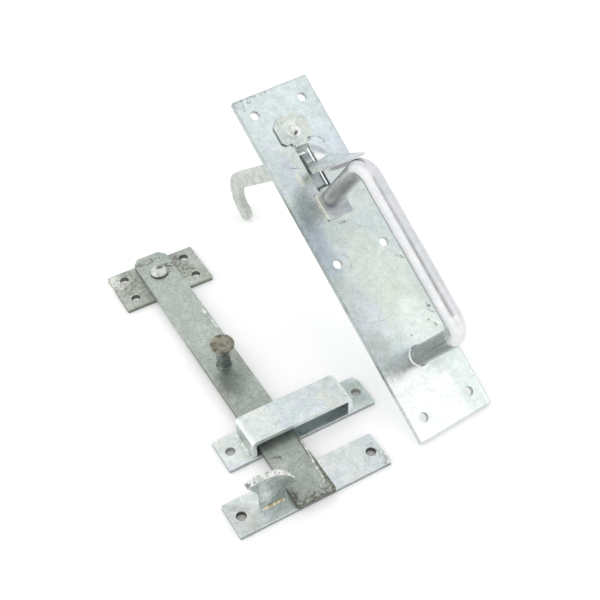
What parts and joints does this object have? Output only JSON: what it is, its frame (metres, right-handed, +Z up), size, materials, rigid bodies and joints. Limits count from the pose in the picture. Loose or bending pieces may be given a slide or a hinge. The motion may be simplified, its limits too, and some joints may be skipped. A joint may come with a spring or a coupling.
{
  "type": "suffolk latch",
  "caption": "Galvanised suffolk gate latch laid out as a kit: D-handle plate with thumb lever, pivoted latch bar with knob, bridge guide and keeper.",
  "frame": {"origin": "middle of the laid-out kit's footprint, on the bench", "axes": "+Z up from the bench, +Y along the latch bar towards its pivot, +X along the guide and the catch"},
  "size_m": [0.1636, 0.2394, 0.1337],
  "materials": {
    "zinc_plate": "pale mottled galvanised sheet",
    "zinc_bright": "smooth semi-gloss galvanised bar",
    "zinc_rivet": "worn galvanised rivet head",
    "zinc_lever": "speckled galvanised forging",
    "zinc_strip": "pale bluish galvanised strip",
    "zinc_dark": "dark galvanised bar with rust stains",
    "rusty_head": "rust-brown turned knob",
    "weld": "rough galvanised weld bead"
  },
  "bodies": {
    "fixed": {"handle_plate": "zinc_plate", "grab_handle": "zinc_bright", "lever_strap": "zinc_plate", "strap_rivet": "zinc_rivet", "pivot_plate": "zinc_dark", "pivot_rivet": "zinc_rivet", "guide_base": "zinc_strip", "guide_bridge": "zinc_strip", "guide_weld_left": "weld", "guide_weld_right": "weld", "catch_plate": "zinc_strip", "catch_hook": "zinc_strip", "catch_weld_front": "weld", "catch_weld_back": "weld"},
    "bar": {"latch_bar": "zinc_dark", "bar_knob": "rusty_head"},
    "lever": {"thumb_lever": "zinc_lever"}
  },
  "joints": [
    {"name": "bar_pivot", "type": "hinge", "parent": "fixed", "child": "bar", "pos_m": [-0.03682, 0.07833, 0.0053], "axis": [0, 0, 1], "range_deg": [0, 11.8]},
    {"name": "lever_rock", "type": "hinge", "parent": "fixed", "child": "lever", "pos_m": [0.0459, 0.0246, 0.09102], "axis": [0.9972, 0.075, 0], "range_deg": [-30, 0]}
  ]
}
